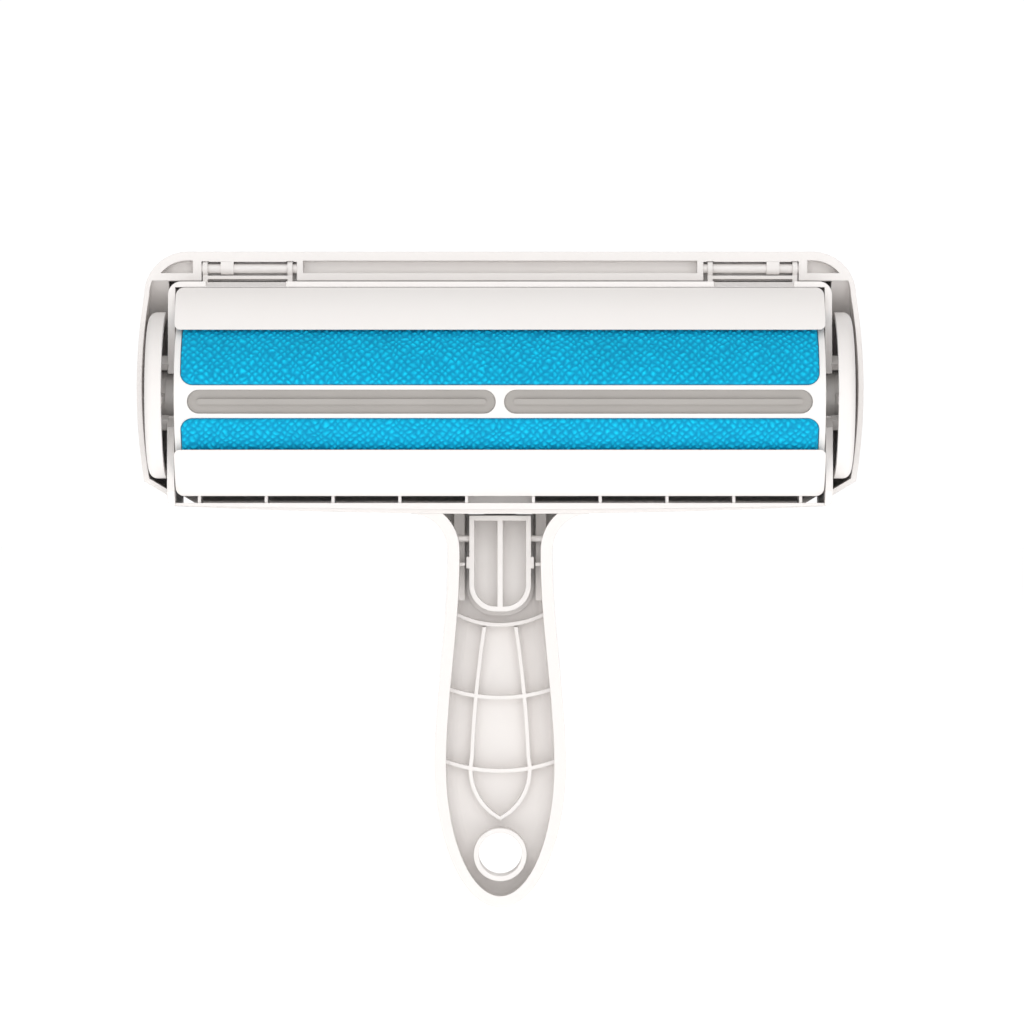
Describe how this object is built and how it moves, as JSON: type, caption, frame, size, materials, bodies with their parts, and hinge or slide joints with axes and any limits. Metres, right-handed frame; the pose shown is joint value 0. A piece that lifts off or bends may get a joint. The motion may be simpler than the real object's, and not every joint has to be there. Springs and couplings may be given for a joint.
{
  "type": "lint roller",
  "caption": "Reusable lint roller: a rocking drum with blue pile strips wipes hair into a hinged dust-box lid behind a T-shaped white plastic head and handle.",
  "frame": {"origin": "centre of the hanging hole in the handle's end, half way along the hole", "axes": "+X along the drum; +Y from the working side to the lid's back, along the hole; +Z along the handle to the head"},
  "size_m": [0.2014, 0.066, 0.1828],
  "materials": {
    "white_abs": "moulded ABS, fine satin",
    "blue_pile": "directional looped pile",
    "grey_rubber": "matt moulded TPR"
  },
  "bodies": {
    "root": {"housing": "white_abs", "upper_scraper": "white_abs", "lower_scraper": "white_abs", "upper_cleaning_pad": "blue_pile", "lower_cleaning_pad": "blue_pile"},
    "drum": {"drum_frame": "white_abs", "drum_core": "white_abs", "upper_fabric_strip": "blue_pile", "lower_fabric_strip": "blue_pile", "left_grip_insert": "grey_rubber", "right_grip_insert": "grey_rubber", "left_end_cap": "white_abs", "right_end_cap": "white_abs", "left_wheel": "white_abs", "right_wheel": "white_abs"},
    "lid": {"lid_shell": "white_abs", "left_hinge_pin": "white_abs", "right_hinge_pin": "white_abs"},
    "button": {"release_button": "white_abs"}
  },
  "joints": [
    {"name": "drum_rock", "type": "hinge", "parent": "root", "child": "drum", "pos_m": [0, -0.0164, 0.128], "axis": [1, 0, 0], "range_deg": [-40, 20]},
    {"name": "lid_hinge", "type": "hinge", "parent": "root", "child": "lid", "pos_m": [0, -0.0148, 0.1632], "axis": [1, 0, 0], "range_deg": [0, 95]},
    {"name": "button_press", "type": "hinge", "parent": "root", "child": "button", "pos_m": [0, -0.0074, 0.0883], "axis": [-1, 0, 0], "range_deg": [0, 7], "stiffness_Nm_per_rad": 0.5, "springref_deg": -1.15}
  ]
}
